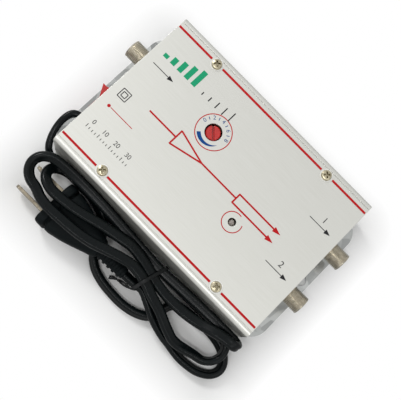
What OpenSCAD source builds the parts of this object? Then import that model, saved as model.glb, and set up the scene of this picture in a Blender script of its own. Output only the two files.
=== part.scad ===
/* [Cover] */
// Length of the cover along X
cover_l = 120; // [110:1:150]
// Outside width of the cover
cover_w = 82.5; // [80:0.5:100]
// Height of the printed top above the table
cover_top = 30; // [29:0.5:40]
// Sheet thickness of the cover
cover_wall = 1.5; // [1:0.1:2]
// Radius of the two long shoulders
cover_shoulder = 2.2; // [1:0.1:3]
// Gap between the side walls and the table
cover_lift = 0.4; // [0.2:0.1:2]
// Distance of each groove from the outside of the cover
groove_inset = 2.6; // [2.3:0.1:4]
// Width of each groove
groove_w = 0.5; // [0.3:0.1:1]
// Depth of each groove
groove_d = 0.4; // [0.2:0.1:0.8]

/* [Base plate] */
// How far the base plate stands out past each end of the cover
base_overhang = 8; // [7:0.5:14]
// How much narrower the base plate is than the cover, each side
base_side_gap = 2.75; // [2:0.25:6]
// Sheet thickness of the base plate
base_t = 1; // [0.8:0.1:2]
// Corner radius of the base plate
base_corner = 9.5; // [5:0.5:14]
// Diameter of the two fixing holes
mount_hole_d = 5.5; // [3:0.1:6]
// Distance of a fixing hole from the end of the base plate
mount_edge = 4.5; // [4:0.1:8]

/* [End plates] */
// How far each end plate sits inside the end of the cover
end_inset = 1.5; // [0.5:0.1:3]
// Sheet thickness of the end plates
end_t = 1; // [0.8:0.1:1.5]
// Gap between an end plate and the underside of the cover
end_top_gap = 0.3; // [0.2:0.1:1]
// Length of the foot of an end plate
foot_l = 8; // [7:0.5:9]
// Shank diameter of the foot rivets
rivet_d = 3; // [2:0.1:4]
// Distance of a foot rivet from the middle line
rivet_y = 28; // [24:1:32]

/* [Connectors] */
// Outside diameter of a connector barrel
barrel_d = 9.5; // [9:0.1:10]
// How far a barrel reaches out from its end plate
barrel_reach = 11.5; // [9:0.5:16]
// Height of the barrel axes above the table
barrel_z = 15; // [13:0.5:18]
// Width across the flats of the outer hex
hex_af = 11; // [10.5:0.5:13]
// Thickness of the outer hex
hex_t = 2; // [1.5:0.1:3]
// Width across the flats of the inner nut
nut_af = 12; // [11:0.5:14]
// Thickness of the inner nut
nut_t = 2.5; // [2:0.1:3]
// Place of the input across the end plate
input_y = 17; // [14:0.5:24]
// Place of output 1 across the end plate
output_1_y = 16.5; // [10:0.5:24]
// Place of output 2 across the end plate
output_2_y = -11.5; // [-20:0.5:-6]

/* [Mains switch] */
// Place of the switch across the end plate
switch_y = -10; // [-10:0.5:-2]
// Height of the switch axis above the table
switch_z = 15; // [15:0.5:18]
// Length of the bezel
bezel_l = 18; // [17.8:0.1:18.4]
// Height of the bezel
bezel_h = 13; // [12.5:0.1:14]
// Thickness of the bezel
bezel_t = 2; // [1.5:0.1:2.2]
// Length of the opening for the rocker
switch_open_l = 15; // [14.8:0.1:15.4]
// Height of the opening for the rocker
switch_open_h = 10; // [9.5:0.1:10.2]
// Wall of the switch housing
switch_wall = 0.7; // [0.6:0.05:1]
// Depth of the housing behind the end plate face
switch_depth = 12.5; // [11:0.5:14]
// Gap above and below the rocker
rocker_gap = 0.3; // [0.2:0.05:0.6]
// Radius of the rocker pegs
peg_r = 1; // [0.8:0.05:1.2]
// Running gap round the pegs
peg_gap = 0.06; // [0.04:0.01:0.1]
// Tilt of the rocker as it lies, one end out
rocker_tilt = 15; // [10:1:15]

/* [Gain control] */
// Place of the gain control along the cover
gain_x = -14; // [-18:0.5:-8]
// Place of the gain control across the cover
gain_y = 12.2; // [8:0.1:18]
// Diameter of the hole in the cover
gain_hole_d = 8.2; // [7.6:0.1:12]
// Diameter of the knob
knob_d = 7; // [5.5:0.1:7]
// How far the knob lies under the top of the cover
knob_recess = 0.8; // [0.4:0.1:2]
// Width of the knob slot
knob_slot = 1.2; // [0.8:0.1:1.8]
// Diameter of the knob shaft
shaft_d = 4; // [3:0.1:4.6]
// Running gap round the shaft
shaft_gap = 0.06; // [0.04:0.01:0.1]
// Side of the square gain body
pot_side = 10; // [8:0.5:12]
// Height of the gain body
pot_h = 6; // [5:0.5:9]

/* [Indicator lamp] */
// Place of the lamp along the cover
lamp_x = 20.2; // [14:0.5:26]
// Place of the lamp across the cover
lamp_y = -10.5; // [-12:0.5:-4]
// Diameter of the lamp
lamp_d = 3; // [2:0.1:3.4]
// Diameter of the lamp hole in the cover
lamp_hole_d = 3.8; // [3.8:0.1:6]

/* [Cover screws] */
// Distance of the screws from the middle of the cover
screw_x = 35.2; // [30:0.5:40]
// Distance of the screws from the outside of the cover
screw_edge = 5.6; // [5.6:0.1:6.4]
// Diameter of the screw heads
screw_head_d = 5; // [4:0.1:5.6]
// Height of the screw heads
screw_head_h = 1.6; // [1:0.1:2.2]
// Diameter of the screw shanks
screw_d = 2.6; // [2:0.1:3]
// Length of the shanks under the head
screw_l = 9; // [6:0.5:12]
// Width across the flats of the pillars
pillar_af = 5; // [4.6:0.1:5.4]

/* [Circuit board] */
// Gap between the board and the end of the cover
board_end_gap = 10; // [10:0.5:11]
// Gap between the board and the outside of the cover
board_side_gap = 10.25; // [10:0.25:12]
// Thickness of the board
board_t = 1.6; // [1:0.1:2]
// Height of the board spacers
spacer_h = 6; // [5:0.5:6.2]
// Distance of a board screw from the board's edge
board_screw_edge = 5; // [4:0.5:6]

/* [Power supply] */
// Length of the transformer core
core_l = 26; // [24:0.5:28]
// Thickness of the core's stack of sheets
core_w = 12; // [10:0.5:13]
// Height of the transformer core
core_h = 19; // [16:0.5:19]
// Gap between the switch terminals and the transformer core
core_gap = 5; // [4:0.5:7]
// Gap between the winding and the edge of the board
core_edge = 4; // [3:0.5:5]
// Diameter of the large filter capacitor
capacitor_d = 10; // [8:0.5:12]
// Height of the large filter capacitor
capacitor_h = 16; // [12:0.5:18]

/* [Mains cord] */
// Diameter of the cord
cord_d = 4.4; // [3.6:0.1:4.5]
// Place of the bushing across the end plate
bushing_y = -22.6; // [-24:0.1:-22.6]
// Height of the bushing above the table
bushing_z = 11; // [11:0.5:13]
// Place of the tie along the hank
tie_x = 13; // [11:0.5:14]
// Width of the tie
tie_w = 2.4; // [1.5:0.1:4]
// Thickness of the tie
tie_t = 0.9; // [0.6:0.1:0.9]

/* [Mains plug] */
// Width of the plug's front slab
plug_w = 23.6; // [20:0.2:23.6]
// Thickness of the plug's front slab
plug_t = 13; // [11:0.5:13]
// Distance between the plug pins
pin_pitch = 12.7; // [12.7:0.1:13]
// Length of the plug pins
pin_l = 17.5; // [15:0.5:18]
// Thickness of the plug pins
pin_t = 1.5; // [1.4:0.1:1.7]
// Width of the plug pins
pin_w = 6.3; // [6:0.1:6.6]

/* [Hidden] */
$fn = 48;
base_l = cover_l + 2 * base_overhang;
base_w = cover_w - 2 * base_side_gap;
mount_x = base_l / 2 - mount_edge;
end_x = cover_l / 2 - end_inset;
cover_under = cover_top - cover_wall;
end_top = cover_under - end_top_gap;
foot_x = end_x - end_t - foot_l / 2;
screw_y = cover_w / 2 - screw_edge;
neck_r = barrel_d / 2 - 0.25;
insulator_r = barrel_d / 2 - 1.2;
fit_gap = 0.05;
board_l = cover_l - 2 * board_end_gap;
board_w = cover_w - 2 * board_side_gap;
board_z = base_t + spacer_h;
board_top = board_z + board_t;
board_screw_x = board_l / 2 - board_screw_edge;
board_screw_y = board_w / 2 - board_screw_edge;
pivot_x = -end_x + 1.5;
terminal_x = -end_x + switch_depth;
terminal_l = 6;
leg_w = 8;
window_w = 4.5;
window_h = core_h - 7;
bobbin_l = leg_w + 2 * window_w - 0.2;
bobbin_w = core_w + 10;
bobbin_h = window_h - 0.4;
core_x = terminal_x + terminal_l + core_gap + core_l / 2;
core_y = -board_w / 2 + bobbin_w / 2 + core_edge;
core_z = board_top + core_h / 2;
pot_top = board_top + pot_h;
knob_top = cover_top - knob_recess;
lamp_top = cover_top - 0.4;
bushing_r = 3.3;
bushing_nose_x = -end_x - 4.1;
cord_r = cord_d / 2;
plug_x = -42.5;
plug_y = -58.4;
plug_z = plug_t / 2;
plug_lean = 6.5;
slab_l = 4.5;
groove_l = 1.2;
plug_body_l = 25.3;
relief_l = 15;
relief_x = plug_x + (slab_l + groove_l + plug_body_l) * cos(plug_lean);
relief_z = plug_z + (slab_l + groove_l + plug_body_l) * sin(plug_lean);
tail_x = relief_x + relief_l;
tie_gap = 0.45;

flange_t = 1.2;
flange_rim = 1;
medium_can_h = 12;
medium_can_d = 8;
small_can_h = 11;
small_can_d = 6.3;
diode_l = 5.2;
diode_r = 1.3;
diode_span = 10;
diode_wire_r = 0.35;
regulator_w = 10;
regulator_t = 4.2;
regulator_h = 9;
regulator_lift = 3;
tab_t = 1.2;
tab_h = 15;
ring_h = 4;
ring_r = 4.5;
ring_bore_r = 2.2;
disc_r = 2.6;
disc_t = 1.6;
disc_z = 4.4;

lead_points = [
    [bushing_nose_x - fit_gap, bushing_y, bushing_z], [bushing_nose_x - 1.7, -22.7, 11],
    [-65.9, -23.6, 11], [-67, -25.4, 11], [-67.5, -28.4, 10.9], [-67.3, -32, 10.5],
    [-66.4, -36, 9.6], [-64.9, -39.8, 8.4], [-62.6, -42.9, 7], [-58.6, -44.5, 5.4],
    [-54, -44.2, 4], [-48, -43.8, 2.9]
];

run_by_wall = [
    [-48, -43.8, 2.9], [-30, -43.8, 2.6], [-8, -44.2, 2.9], [13, -45.2, 3.6], [30, -44.6, 3.6],
    [42, -44.4, 5.2], [51, -44.6, 7.7]
];
run_outer = [
    [51, -61.2, 6.9], [41, -63.4, 7.6], [34, -61.8, 9.6], [26, -58.8, 12], [19, -56.9, 13.5],
    [13, -54.8, 13.9], [4, -53.4, 15], [-3, -54.9, 16.2], [-10, -57.2, 16.6], [-17, -59.6, 16.6],
    [-25, -61.2, 16.6], [-33, -62, 16.5], [-41, -62.4, 16.2], [-47, -61.8, 15.4], [-52, -60, 14.4]
];
run_top = [
    [-52, -44.7, 15.5], [-42, -44.1, 14.8], [-32, -44, 13.8], [-22, -44.1, 12.6], [-10, -44.5, 10.6],
    [2, -45, 9.4], [13, -45.4, 8.7], [26, -44.8, 9.5], [40, -44.4, 11.4], [50, -44.3, 12.6],
    [55, -44.3, 12.8], [58, -44.3, 12.8]
];
run_middle = [
    [58, -46.9, 19.3], [55, -47.3, 19.1], [50, -48.4, 18], [43, -50.2, 15.6], [35, -51.6, 13.8],
    [25, -52, 12.4], [17, -51.2, 11.6], [13, -50.2, 11.5], [4, -48.4, 13.2], [-3, -47.8, 14.2],
    [-8, -48.6, 14.7], [-15, -50, 15], [-22, -51.7, 15.8], [-29, -53.7, 16.4], [-37, -55.3, 16.7],
    [-45, -56, 16.7]
];
run_under = [
    [-45, -44, 8.1], [-39, -43.9, 7.8], [-33, -44.1, 7.5], [-27, -45.5, 7.2], [-22.5, -47.3, 6.1],
    [-19, -50.2, 3.6], [-16.6, -53.4, 2.5], [-15, -57.6, 2.4], [-13, -62, 2.4], [-8, -65.6, 2.4],
    [-2, -67.4, 2.5], [4, -68.1, 2.5], [12, -68.1, 2.5], [19.6, -66.4, 2.4], [25, -63, 2.4],
    [27, -58.6, 2.4], [27.6, -54.2, 2.5], [30.5, -50.8, 2.5], [36, -49.6, 2.5], [43, -48.9, 2.5],
    [50, -48.4, 2.5]
];
run_tail = [
    [50, -66.4, 2.5], [45, -66.2, 2.5], [40, -65.5, 3], [34, -64.8, 4.8], [27, -63, 7.2],
    [20, -59.8, 8.6], [14, -57.4, 9], [8.4, -58.2, 9.6], [tail_x + fit_gap, plug_y, relief_z]
];
// How far each fold reaches past the ends of the two runs that it joins
fold_reach = [9.4, -9.8, 3.4, -9.3, 15];
tie_slots = [[-45.2, 3.6], [-45.4, 8.7], [-50.2, 11.5], [-54.8, 13.9], [-57.4, 9]];

function unit(v) = v / norm(v);

function ease(s) = (1 - cos(180 * s)) / 2;

// The fold between two runs: half an ellipse, easing from one place and height to the other
function fold(a, b, reach) = [
    for (i = [1 : 5]) let (s = i / 6)
        [a[0] + reach * sin(180 * s), a[1] + (b[1] - a[1]) * ease(s), a[2] + (b[2] - a[2]) * ease(s)]
];

// A place on the board, as shares of its half length and half width
function spot(u, v) = [u * board_l / 2, v * board_w / 2, board_top];

function last(list) = list[len(list) - 1];

function link(a, b, reach) = concat(a, fold(last(a), b[0], reach));

hank_points = concat(
    link(run_by_wall, run_outer, fold_reach[0]),
    link(run_outer, run_top, fold_reach[1]),
    link(run_top, run_middle, fold_reach[2]),
    link(run_middle, run_under, fold_reach[3]),
    link(run_under, run_tail, fold_reach[4]),
    run_tail
);

function curve_point(p, i, s) =
    let (a = p[max(i - 1, 0)], b = p[i], c = p[i + 1], d = p[min(i + 2, len(p) - 1)])
    0.5 * (2 * b + (c - a) * s + (2 * a - 5 * b + 4 * c - d) * s * s
        + (3 * b - a - 3 * c + d) * s * s * s);

function curve(p, n) = concat(
    [for (i = [0 : len(p) - 2]) for (k = [0 : n - 1]) curve_point(p, i, k / n)],
    [last(p)]
);

function heading(p, i) = unit(p[min(i + 1, len(p) - 1)] - p[max(i - 1, 0)]);

// A direction square to each heading, carried along the path without twist
function sides_along(p) = [
    for (i = 0, s = unit(cross([0, 0, 1], heading(p, 0))); i < len(p);
            i = i + 1, h = heading(p, min(i, len(p) - 1)), s = unit(s - (s * h) * h)) s
];

function ring(centre, along, side, r, n) =
    let (across = unit(side - (side * along) * along), up = cross(along, across))
    [for (k = [0 : n - 1]) centre + r * (cos(360 * k / n) * across + sin(360 * k / n) * up)];

function length_of(p) = len(p) < 2 ? 0 : sum([for (i = [1 : len(p) - 1]) norm(p[i] - p[i - 1])]);

function sum(list, i = 0) = i >= len(list) ? 0 : list[i] + sum(list, i + 1);

// Length of the path up to each of its points
function travel(p) = [
    for (i = 0, t = 0; i < len(p); i = i + 1, t = t + (i < len(p) ? norm(p[i] - p[i - 1]) : 0)) t
];

// Least gap between stretches of the cord that lie at least so far apart along it
function least_gap(p, apart) =
    let (t = travel(p))
    min([
        for (i = [0 : len(p) - 2]) for (j = [i + 1 : len(p) - 1])
            if (t[j] - t[i] > apart) norm(p[i] - p[j])
    ]) - cord_d;

// A tube through the points, cut square to the given headings at its two ends
module tube(p, r, n, first, final) {
    count = len(p);
    side = sides_along(p);
    inner = [for (i = [1 : count - 2]) each ring(p[i], heading(p, i), side[i], r, n)];
    corners = concat(
        ring(p[0], first, side[0], r, n), inner, ring(last(p), final, last(side), r, n)
    );
    sides = [
        for (i = [0 : count - 2]) for (k = [0 : n - 1])
            let (a = i * n + k, b = i * n + (k + 1) % n)
            each [[a, a + n, b], [b, a + n, b + n]]
    ];
    ends = [
        for (k = [1 : n - 2])
            each [[0, k, k + 1], [(count - 1) * n, (count - 1) * n + k + 1, (count - 1) * n + k]]
    ];
    polyhedron(points = corners, faces = concat(sides, ends), convexity = 10);
}

module along_x(x, y, z) {
    translate([x, y, z]) rotate([0, 90, 0]) children();
}

module rounded_plate(l, w, t, r) {
    translate([-l / 2 + r, -w / 2, 0]) cube([l - 2 * r, w, t]);
    translate([-l / 2, -w / 2 + r, 0]) cube([l, w - 2 * r, t]);
    for (x = [-1, 1], y = [-1, 1])
        translate([x * (l / 2 - r), y * (w / 2 - r), 0]) cylinder(h = t, r = r);
}

module at_screws() {
    for (x = [-1, 1], y = [-1, 1]) translate([x * screw_x, y * screw_y, 0]) children();
}

module at_board_screws() {
    for (x = [-1, 1], y = [-1, 1])
        translate([x * board_screw_x, y * board_screw_y, 0]) children();
}

module at_rivets() {
    for (x = [-1, 1], y = [-1, 1]) translate([x * foot_x, y * rivet_y, 0]) children();
}

module base_plate() {
    color("silver") difference() {
        rounded_plate(base_l, base_w, base_t, base_corner);
        for (x = [-1, 1])
            translate([x * mount_x, 0, -1]) cylinder(h = base_t + 2, d = mount_hole_d);
        at_rivets() translate([0, 0, -1]) cylinder(h = base_t + 2, r = rivet_d / 2 + fit_gap);
        at_screws() translate([0, 0, -1]) cylinder(h = base_t + 2, r = 1.5 + fit_gap);
        at_board_screws() translate([0, 0, -1]) cylinder(h = base_t + 2, r = 1.5 + fit_gap);
    }
}

module blank_end_plate() {
    difference() {
        union() {
            translate([end_x - end_t, -base_w / 2, base_t])
                cube([end_t, base_w, end_top - base_t]);
            translate([end_x - end_t - foot_l, -base_w / 2 + 3, base_t])
                cube([foot_l + 0.5, base_w - 6, end_t]);
        }
        for (y = [-1, 1])
            translate([foot_x, y * rivet_y, 0]) cylinder(h = 4, r = rivet_d / 2 + fit_gap);
    }
}

module barrel_hole(y) {
    along_x(end_x - end_t - 1, y, barrel_z) cylinder(h = end_t + 2, r = neck_r + fit_gap);
}

module input_end_plate() {
    color("gainsboro") difference() {
        rotate([0, 0, 180]) blank_end_plate();
        rotate([0, 0, 180]) barrel_hole(-input_y);
        translate([-end_x - 1, switch_y - switch_open_l / 2 - switch_wall - 0.1,
                switch_z - switch_open_h / 2 - switch_wall - 0.1])
            cube([end_t + 2, switch_open_l + 2 * switch_wall + 0.2,
                switch_open_h + 2 * switch_wall + 0.2]);
        along_x(-end_x - 1, bushing_y, bushing_z) cylinder(h = end_t + 2, r = 2.85);
    }
}

module output_end_plate() {
    color("gainsboro") difference() {
        blank_end_plate();
        barrel_hole(output_1_y);
        barrel_hole(output_2_y);
    }
}

module plate_rivets() {
    color("darkgray") at_rivets() {
        translate([0, 0, 0.2]) cylinder(h = base_t + end_t - 0.2, d = rivet_d);
        translate([0, 0, base_t + end_t]) cylinder(h = 0.6, r = rivet_d);
        translate([0, 0, base_t + end_t + 0.6]) cylinder(h = 0.5, r1 = rivet_d, r2 = rivet_d * 0.6);
    }
}

module shoulder_cut() {
    difference() {
        square(cover_shoulder + 1);
        circle(r = cover_shoulder);
    }
}

module cover_section() {
    difference() {
        translate([-cover_w / 2, cover_lift]) square([cover_w, cover_top - cover_lift]);
        translate([-cover_w / 2 + cover_wall, cover_lift - 1])
            square([cover_w - 2 * cover_wall, cover_under - cover_lift + 1]);
        for (side = [0, 1]) mirror([side, 0]) {
            translate([cover_w / 2 - cover_shoulder, cover_top - cover_shoulder]) shoulder_cut();
            translate([cover_w / 2 - groove_inset - groove_w, cover_top - groove_d])
                square([groove_w, groove_d + 1]);
        }
    }
}

module top_cover() {
    color("whitesmoke") difference() {
        translate([-cover_l / 2, 0, 0]) rotate([90, 0, 90])
            linear_extrude(height = cover_l) cover_section();
        at_screws() translate([0, 0, cover_under - 1])
            cylinder(h = cover_wall + 2, r = screw_d / 2 + 0.3);
        translate([gain_x, gain_y, cover_under - 1])
            cylinder(h = cover_wall + 2, d = gain_hole_d);
        translate([lamp_x, lamp_y, cover_under - 1])
            cylinder(h = cover_wall + 2, d = lamp_hole_d);
    }
}

module cover_pillars() {
    color("silver") at_screws() difference() {
        union() {
            translate([0, 0, base_t])
                cylinder(h = cover_under - base_t, r = pillar_af / 2 / cos(30), $fn = 6);
            translate([0, 0, 0.2]) cylinder(h = base_t, r = 1.5);
        }
        translate([0, 0, cover_under - screw_l])
            cylinder(h = screw_l + 1, r = screw_d / 2 + fit_gap);
    }
}

module cover_screws() {
    color("khaki") at_screws() difference() {
        translate([0, 0, cover_top]) rotate_extrude() polygon([
            [0, -screw_l + cover_wall + 1], [screw_d / 2 - 0.3, -screw_l + cover_wall + 1],
            [screw_d / 2, -screw_l + cover_wall + 1.5], [screw_d / 2, 0],
            [screw_head_d / 2, 0], [screw_head_d / 2, screw_head_h * 0.45],
            [screw_head_d * 0.44, screw_head_h * 0.75], [screw_head_d * 0.3, screw_head_h * 0.94],
            [0, screw_head_h]
        ]);
        for (turn = [0, 90]) translate([0, 0, cover_top + screw_head_h]) rotate([0, 0, turn + 45])
            cube([screw_head_d * 0.56, 0.8, 2], center = true);
    }
}

module circuit_board() {
    color("peru") difference() {
        translate([-board_l / 2, -board_w / 2, board_z]) cube([board_l, board_w, board_t]);
        at_board_screws() translate([0, 0, board_z - 1]) cylinder(h = board_t + 2, r = 1.5);
    }
}

module board_spacers() {
    color("silver") at_board_screws() difference() {
        union() {
            translate([0, 0, base_t]) cylinder(h = spacer_h, r = 2.8);
            translate([0, 0, 0.2]) cylinder(h = base_t, r = 1.5);
        }
        translate([0, 0, board_z - 4.5]) cylinder(h = 5.5, r = 1.3 + fit_gap);
    }
}

module board_screws() {
    color("silver") at_board_screws() difference() {
        union() {
            translate([0, 0, board_z - 4]) cylinder(h = board_t + 4, r = 1.3);
            translate([0, 0, board_top]) cylinder(h = 1.5, r = 2.4);
        }
        for (turn = [0, 90]) translate([0, 0, board_top + 1.5]) rotate([0, 0, turn])
            cube([2.8, 0.7, 1.6], center = true);
    }
}

module transformer_core() {
    color("dimgray") translate([core_x, core_y, core_z]) difference() {
        cube([core_l, core_w, core_h], center = true);
        for (side = [-1, 1]) translate([side * (leg_w + window_w) / 2, 0, 0])
            cube([window_w, core_w + 2, window_h], center = true);
    }
}

module transformer_bobbin() {
    color("goldenrod") translate([core_x, core_y, core_z]) difference() {
        union() {
            cube([bobbin_l, bobbin_w, bobbin_h - 2 * flange_t], center = true);
            for (side = [-1, 1]) translate([0, 0, side * (bobbin_h - flange_t) / 2])
                cube([bobbin_l, bobbin_w + flange_rim, flange_t], center = true);
        }
        cube([leg_w + 0.2, core_w + 0.2, bobbin_h + 2], center = true);
    }
}

module transformer_clamp() {
    clamp_w = core_w - 3;
    color("silver") translate([core_x, core_y, board_top]) {
        translate([-core_l / 2 - 0.6, -clamp_w / 2, core_h])
            cube([core_l + 1.2, clamp_w, 0.6]);
        for (side = [-1, 1]) translate([side * (core_l / 2 + 0.3) - 0.3, -clamp_w / 2, 0])
            cube([0.6, clamp_w, core_h + 0.3]);
    }
}

module filter_capacitors() {
    color("darkslateblue") {
        translate(spot(0.08, -0.645)) difference() {
            cylinder(h = capacitor_h, d = capacitor_d);
            for (turn = [0, 90]) translate([0, 0, capacitor_h]) rotate([0, 0, turn])
                cube([capacitor_d * 0.6, 0.4, 0.6], center = true);
        }
        translate(spot(0.34, -0.71)) cylinder(h = medium_can_h, d = medium_can_d);
        translate(spot(0.76, -0.58)) cylinder(h = small_can_h, d = small_can_d);
    }
}

module rectifier_diodes() {
    color("dimgray") for (i = [0 : 3]) translate(spot(-0.06 + 0.08 * i, -0.16))
        translate([0, 0, diode_r + fit_gap]) rotate([90, 0, 0]) {
            cylinder(h = diode_l, r = diode_r, center = true, $fn = 24);
            cylinder(h = diode_span, r = diode_wire_r, center = true, $fn = 16);
        }
}

module regulator() {
    color("dimgray") translate(spot(0.58, -0.77)) {
        translate([-regulator_w / 2, -2, regulator_lift]) cube([regulator_w, regulator_t, regulator_h]);
        translate([-regulator_w / 2, regulator_t - 2, regulator_lift])
            cube([regulator_w, tab_t, tab_h]);
        for (x = [-2.54, 0, 2.54]) translate([x - 0.4, -0.2, 0])
            cube([0.8, 0.5, regulator_lift + 0.2]);
    }
}

module amplifier_transistors() {
    color("dimgray") for (place = [[-0.64, 0.45], [0.12, 0.39], [0.48, 0.26]])
        translate(spot(place[0], place[1])) {
            difference() {
                translate([0, 0, 2]) cylinder(h = 4.8, r = 2.3, $fn = 32);
                translate([-4, 1.3, 1]) cube([8, 4, 7]);
            }
            for (x = [-1.27, 0, 1.27]) translate([x, 0, 0]) cylinder(h = 2.4, r = 0.25, $fn = 16);
        }
}

module ferrite_cores() {
    color("darkslategray") for (place = [[0.74, 0.06], [0.74, 0.55], [-0.8, 0.55]])
        translate(spot(place[0], place[1])) difference() {
            cylinder(h = ring_h, r = ring_r);
            translate([0, 0, -1]) cylinder(h = ring_h + 2, r = ring_bore_r);
        }
}

module ceramic_capacitors() {
    places = [[-0.64, 0.71], [-0.08, 0.71], [0.24, 0.65], [0.52, 0.65], [0.88, 0.29]];
    color("chocolate") for (place = places)
        translate(spot(place[0], place[1])) {
            translate([0, 0, disc_z]) rotate([90, 0, 0])
                cylinder(h = disc_t, r = disc_r, center = true, $fn = 32);
            for (x = [-1.5, 1.5]) translate([x, 0, 0]) cylinder(h = 3.4, r = 0.25, $fn = 16);
        }
}

module gain_pot() {
    color("steelblue") translate([gain_x, gain_y, board_top]) difference() {
        translate([-pot_side / 2, -pot_side / 2, 0]) cube([pot_side, pot_side, pot_h]);
        translate([0, 0, pot_h - 4.2]) cylinder(h = 6, r = shaft_d / 2 + shaft_gap);
    }
}

module gain_knob() {
    color("firebrick") translate([gain_x, gain_y, 0]) difference() {
        rotate_extrude() polygon([
            [0, pot_top - 4], [shaft_d / 2 - 0.3, pot_top - 4], [shaft_d / 2, pot_top - 3.7],
            [shaft_d / 2, knob_top - 5], [knob_d / 2, knob_top - 4.4],
            [knob_d / 2, knob_top - 0.4], [knob_d / 2 - 0.4, knob_top], [0, knob_top]
        ]);
        translate([0, 0, knob_top]) rotate([0, 0, -45])
            cube([knob_d + 2, knob_slot, 3.2], center = true);
    }
}

module power_lamp() {
    r = lamp_d / 2;
    color("red") translate([lamp_x, lamp_y, lamp_top]) rotate_extrude() polygon([
        [0, -5.3], [r + 0.4, -5.3], [r + 0.4, -4.3], [r, -4.3], [r, -r],
        for (a = [15 : 15 : 75]) [r * cos(a), -r + r * sin(a)],
        [0, 0]
    ]);
}

module lamp_leads() {
    color("silver") for (side = [-1, 1]) translate([lamp_x + side * 1.27, lamp_y, board_top])
        cylinder(h = lamp_top - 5.3 - board_top, r = 0.3, $fn = 16);
}

module connector() {
    color("tan") translate([end_x, 0, barrel_z]) difference() {
        union() {
            rotate([0, 90, 0]) cylinder(h = hex_t, r = hex_af / 2 / cos(30), $fn = 6);
            along_x(hex_t, 0, 0) cylinder(h = barrel_reach - hex_t, d = barrel_d);
            along_x(-end_t - nut_t - 1.5, 0, 0) cylinder(h = end_t + nut_t + 2, r = neck_r);
        }
        along_x(-end_t - nut_t - 3, 0, 0)
            cylinder(h = barrel_reach + end_t + nut_t + 6, r = insulator_r + fit_gap);
    }
}

module input_connector() {
    translate([0, input_y, 0]) rotate([0, 0, 180]) connector();
}

module output_connector_1() {
    translate([0, output_1_y, 0]) connector();
}

module output_connector_2() {
    translate([0, output_2_y, 0]) connector();
}

module at_connectors() {
    translate([0, input_y, 0]) rotate([0, 0, 180]) children();
    translate([0, output_1_y, 0]) children();
    translate([0, output_2_y, 0]) children();
}

module connector_insulators() {
    color("white") at_connectors() translate([end_x, 0, barrel_z]) difference() {
        along_x(-end_t - nut_t - 1.5, 0, 0)
            cylinder(h = barrel_reach + end_t + nut_t + 0.7, r = insulator_r);
        along_x(-end_t - nut_t - 3, 0, 0) cylinder(h = barrel_reach + 10, r = 0.9 + fit_gap);
    }
}

module connector_contacts() {
    tail = -board_end_gap + end_inset - 1.2;
    color("gold") at_connectors() translate([end_x, 0, 0]) {
        difference() {
            along_x(tail, 0, barrel_z) cylinder(h = barrel_reach - 1.4 - tail, r = 0.9, $fn = 24);
            along_x(barrel_reach - 8, 0, barrel_z) cylinder(h = 10, r = 0.5, $fn = 24);
        }
        translate([tail + 0.5, 0, board_top])
            cylinder(h = barrel_z - board_top, r = 0.4, $fn = 16);
    }
}

module connector_nuts() {
    color("tan") at_connectors() translate([end_x, 0, barrel_z]) difference() {
        along_x(-end_t - nut_t, 0, 0) cylinder(h = nut_t, r = nut_af / 2 / cos(30), $fn = 6);
        along_x(-end_t - nut_t - 1, 0, 0) cylinder(h = nut_t + 2, r = neck_r + fit_gap);
    }
}

module switch_housing() {
    body_l = switch_open_l + 2 * switch_wall;
    body_h = switch_open_h + 2 * switch_wall;
    color("dimgray") difference() {
        translate([-end_x, switch_y, switch_z]) union() {
            translate([-bezel_t, 0, 0]) rotate([0, 90, 0])
                rounded_plate(bezel_h, bezel_l, bezel_t, 1.2);
            translate([-0.5, -body_l / 2, -body_h / 2]) cube([switch_depth + 0.5, body_l, body_h]);
        }
        translate([-end_x - bezel_t - 1, switch_y - switch_open_l / 2, switch_z - switch_open_h / 2])
            cube([switch_depth + bezel_t - 0.5, switch_open_l, switch_open_h]);
        translate([pivot_x, switch_y, switch_z - body_h]) cylinder(h = 2 * body_h, r = peg_r + peg_gap);
    }
}

module switch_rocker() {
    height = switch_open_h - 2 * rocker_gap;
    peg_l = switch_open_h + 2 * switch_wall - 0.4;
    color("firebrick") translate([pivot_x, switch_y, switch_z]) rotate([0, 0, rocker_tilt]) {
        translate([0, 0, -height / 2]) linear_extrude(height = height) polygon([
            [-7.17, 6.5], [-5.4, 0], [-7.17, -6.5], [-5.2, -6], [-1.5, -6],
            [2.4, -2.6], [2.4, 2.6], [-1.5, 6], [-5.2, 6]
        ]);
        translate([0, 0, -peg_l / 2]) cylinder(h = peg_l, r = peg_r);
    }
}

module switch_terminals() {
    color("gold") for (side = [-1, 1])
        translate([terminal_x, switch_y + side * 3.5 - 0.4, switch_z - 2.4])
            cube([terminal_l, 0.8, 4.8]);
}

module cord_bushing() {
    color("black") translate([-end_x, bushing_y, bushing_z]) rotate([0, -90, 0])
        rotate_extrude() polygon([
            [0, -end_t - 2], [3.4, -end_t - 2], [3.4, -end_t], [2.8, -end_t], [2.8, 0],
            [bushing_r, 0], [bushing_r, 1.2], [3, 1.6], [2.7, 4.1], [0, 4.1]
        ]);
}

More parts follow.
